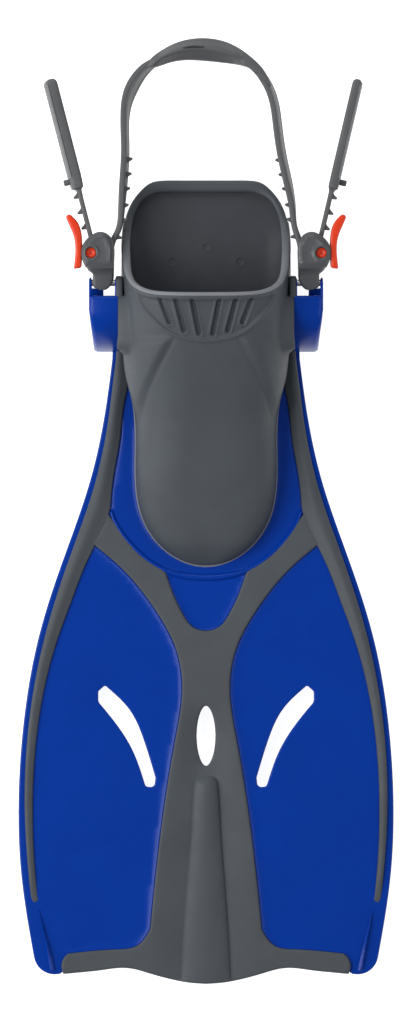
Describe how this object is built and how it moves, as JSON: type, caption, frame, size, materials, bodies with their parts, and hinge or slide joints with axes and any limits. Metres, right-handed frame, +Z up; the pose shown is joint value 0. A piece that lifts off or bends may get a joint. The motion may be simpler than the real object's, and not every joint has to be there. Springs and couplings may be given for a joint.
{
  "type": "swim fin",
  "caption": "Open-heel snorkelling fin with a vented blade, soft foot pocket and a quick-adjust heel strap that swings on side buckles.",
  "frame": {"origin": "on the flat outsole, under the middle of the foot pocket", "axes": "+Y towards the heel, -Y towards the blade's tip, +Z up, X across the fin"},
  "size_m": [0.2328, 0.5864, 0.0759],
  "materials": {
    "blue_plastic": "glossy moulded",
    "grey_rubber": "matte moulded",
    "insole_foam": "matte",
    "sole_rubber": "matte moulded",
    "grey_plastic": "satin moulded",
    "orange_plastic": "satin moulded",
    "steel": "polished"
  },
  "bodies": {
    "fin": {"blade": "blue_plastic", "foot_pocket": "grey_rubber", "insole": "insole_foam", "outsole": "sole_rubber", "centre_web": "grey_rubber", "left_side_rail": "grey_rubber", "right_side_rail": "grey_rubber", "left_swivel_pin": "steel", "right_swivel_pin": "steel"},
    "strap": {"heel_strap": "grey_rubber", "heel_pad": "grey_rubber"},
    "left_buckle": {"left_buckle_body": "grey_plastic", "left_roller_pin": "steel", "left_lever_spring": "steel"},
    "left_lever": {"left_lever": "orange_plastic"},
    "left_roller": {"left_roller": "grey_plastic"},
    "right_buckle": {"right_buckle_body": "grey_plastic", "right_roller_pin": "steel", "right_lever_spring": "steel"},
    "right_lever": {"right_lever": "orange_plastic"},
    "right_roller": {"right_roller": "grey_plastic"}
  },
  "joints": [
    {"name": "strap_swing", "type": "hinge", "parent": "fin", "child": "strap", "pos_m": [0, 0.0545, 0.035], "axis": [1, 0, 0], "range_deg": [0, 92]},
    {"name": "left_buckle_swivel", "type": "hinge", "parent": "fin", "child": "left_buckle", "pos_m": [-0.0635, 0.0545, 0.035], "axis": [1, 0, 0], "range_deg": [0, 92]},
    {"name": "left_lever_pivot", "type": "hinge", "parent": "left_buckle", "child": "left_lever", "pos_m": [-0.0713, 0.07285, 0.035], "axis": [0, 0, 1], "range_deg": [0, 20], "stiffness_Nm_per_rad": 0.05, "springref_deg": -28.65, "deforming": ["left_lever_spring"]},
    {"name": "left_roller_spin", "type": "hinge", "parent": "left_buckle", "child": "left_roller", "pos_m": [-0.0645, 0.0725, 0.035], "axis": [0, 0, 1], "continuous": true},
    {"name": "right_buckle_swivel", "type": "hinge", "parent": "fin", "child": "right_buckle", "pos_m": [0.0635, 0.0545, 0.035], "axis": [1, 0, 0], "range_deg": [0, 92]},
    {"name": "right_lever_pivot", "type": "hinge", "parent": "right_buckle", "child": "right_lever", "pos_m": [0.0713, 0.07285, 0.035], "axis": [0, 0, -1], "range_deg": [0, 20], "stiffness_Nm_per_rad": 0.05, "springref_deg": -28.65, "deforming": ["right_lever_spring"]},
    {"name": "right_roller_spin", "type": "hinge", "parent": "right_buckle", "child": "right_roller", "pos_m": [0.0645, 0.0725, 0.035], "axis": [0, 0, 1], "continuous": true}
  ],
  "couplings": [
    {"joint": "left_buckle_swivel", "follows": "strap_swing", "ratio": 1},
    {"joint": "right_buckle_swivel", "follows": "strap_swing", "ratio": 1}
  ]
}
